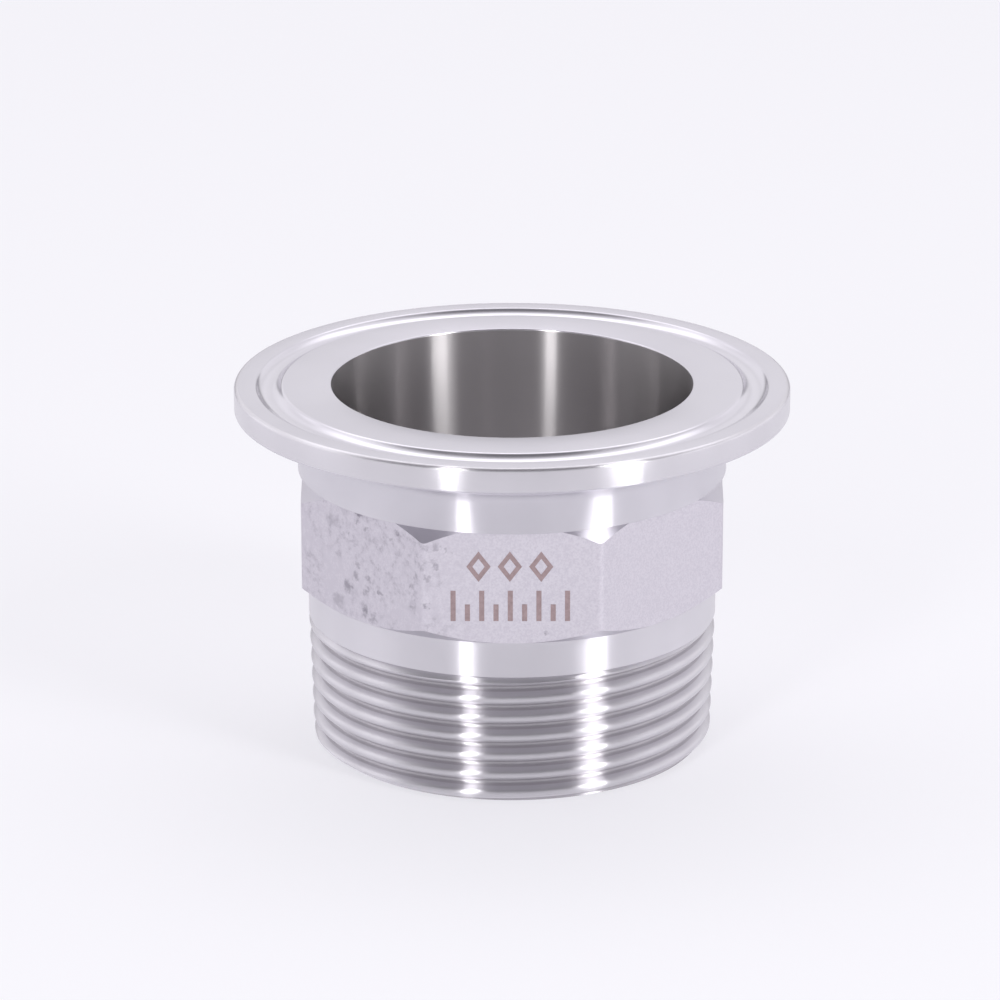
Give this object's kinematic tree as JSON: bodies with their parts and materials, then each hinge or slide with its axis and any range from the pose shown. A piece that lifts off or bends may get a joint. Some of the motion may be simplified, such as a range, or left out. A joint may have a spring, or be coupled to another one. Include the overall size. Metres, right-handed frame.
{
  "type": "sanitary clamp threaded adapter",
  "caption": "Stainless pipe adapter: a sanitary clamp flange with a gasket groove above an octagonal wrench section and a tapered male pipe thread, with a plain bore right through it.",
  "frame": {"origin": "centre of the thread end's plane, on the bore's axis, where the part stands", "axes": "+Z along the bore's axis, from the thread end up to the clamp face; -Y is the outward normal of one wrench flat"},
  "size_m": [0.064, 0.064, 0.043],
  "materials": {
    "stainless_steel": "turned and polished on the flange, neck, collar, thread and bore, satin as cast on the wrench section"
  },
  "bodies": {
    "root": {"adapter_body": "stainless_steel"}
  },
  "joints": []
}
